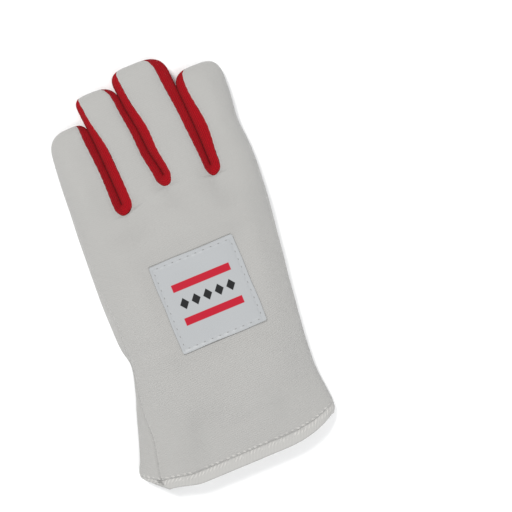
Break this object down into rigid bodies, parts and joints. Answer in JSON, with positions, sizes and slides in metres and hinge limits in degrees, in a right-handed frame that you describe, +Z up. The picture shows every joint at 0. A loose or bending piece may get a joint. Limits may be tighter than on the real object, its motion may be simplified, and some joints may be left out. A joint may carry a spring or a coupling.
{
  "type": "cricket batting inner glove",
  "caption": "Thin knitted cotton inner glove for the left hand, with coloured strips between its fingers and a sewn patch, lying palm down with its thumb folded under.",
  "frame": {"origin": "middle of the glove's bounding box, at its base, on the surface that it lies on", "axes": "+X to the thumb side, +Y to the fingertips, +Z up out of the back of the hand"},
  "size_m": [0.1366, 0.2454, 0.0208],
  "materials": {
    "cotton_knit": "fine off-white cotton knit, matt",
    "red_knit": "red ribbed cotton knit, matt",
    "hem_knit": "off-white cotton hem with an overlocked edge, matt",
    "patch_vinyl": "cool white coated cloth with a soft sheen"
  },
  "bodies": {
    "root": {"back_panel": "cotton_knit", "palm_panel": "cotton_knit", "fourchette_ring_little": "red_knit", "fourchette_middle_ring": "red_knit", "fourchette_index_middle": "red_knit", "cuff_hem": "hem_knit", "thumb": "cotton_knit", "patch": "patch_vinyl"}
  },
  "joints": []
}
